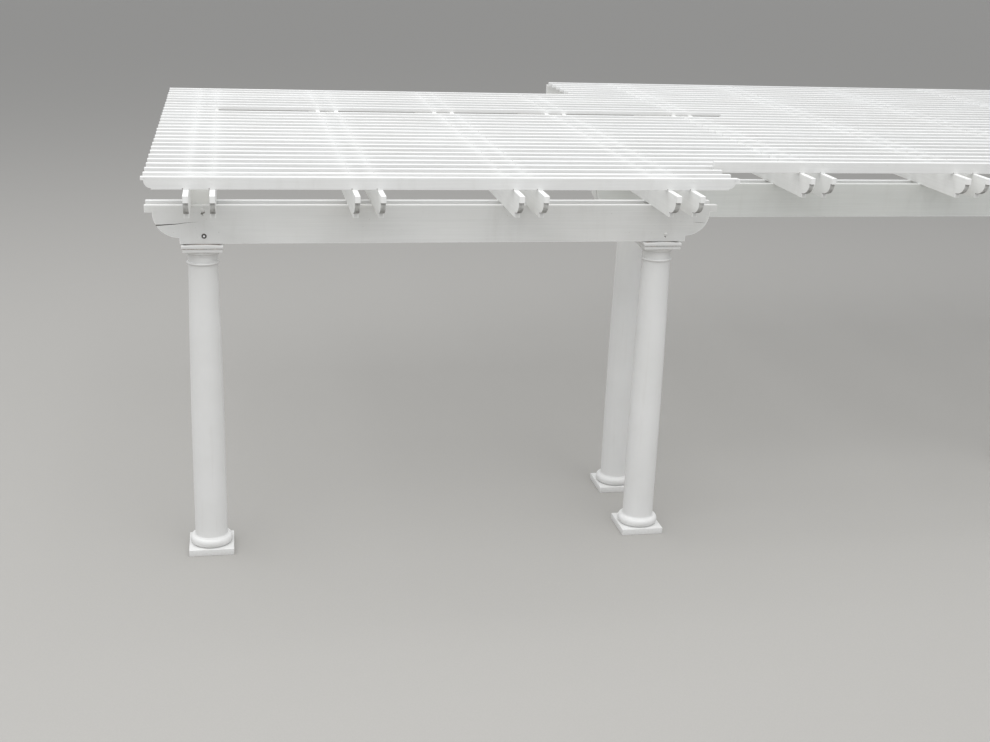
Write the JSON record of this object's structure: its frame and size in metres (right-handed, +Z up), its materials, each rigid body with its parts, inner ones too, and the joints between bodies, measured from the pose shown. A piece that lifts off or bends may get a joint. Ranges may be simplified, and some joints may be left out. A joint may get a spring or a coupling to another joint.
{
  "type": "pergola",
  "caption": "Attached pergola with round classical columns, doubled beams with curved ends, paired rafters and an open roof of slats, in two sections at different depths.",
  "frame": {"origin": "middle of the back face of the ledger of section A, where it meets the wall", "axes": "+X along the wall from section A to section B, +Y into the wall, +Z up"},
  "size_m": [12.426, 6.9017, 3.0303],
  "materials": {
    "painted_boards": "satin paint",
    "painted_slats": "satin paint, weathered",
    "painted_column": "satin paint",
    "treated_post": "sawn"
  },
  "bodies": {
    "root": {"beam_a_front": "painted_boards", "beam_a_rear": "painted_boards", "beam_b_front_left": "painted_boards", "beam_b_front_right": "painted_boards", "beam_b_rear_left": "painted_boards", "beam_b_rear_right": "painted_boards", "column_1_base": "painted_column", "column_1_capital": "painted_column", "column_1_shaft": "painted_column", "column_2_base": "painted_column", "column_2_capital": "painted_column", "column_2_shaft": "painted_column", "column_3_base": "painted_column", "column_3_capital": "painted_column", "column_3_shaft": "painted_column", "column_4_base": "painted_column", "column_4_capital": "painted_column", "column_4_shaft": "painted_column", "column_5_base": "painted_column", "column_5_capital": "painted_column", "column_5_shaft": "painted_column", "front_board_a": "painted_boards", "front_board_b_left": "painted_boards", "front_board_b_right": "painted_boards", "inner_posts": "treated_post", "ledger_a": "painted_boards", "ledger_b": "painted_boards", "rafters_a_1": "painted_boards", "rafters_a_2": "painted_boards", "rafters_a_3": "painted_boards", "rafters_a_4": "painted_boards", "rafters_b_1": "painted_boards", "rafters_b_2": "painted_boards", "rafters_b_3": "painted_boards", "rafters_b_4": "painted_boards", "rafters_b_5": "painted_boards", "rafters_b_6": "painted_boards", "slats_corner": "painted_slats", "slats_front": "painted_slats", "slats_left": "painted_slats", "slats_middle": "painted_slats", "slats_right": "painted_slats"}
  },
  "joints": []
}
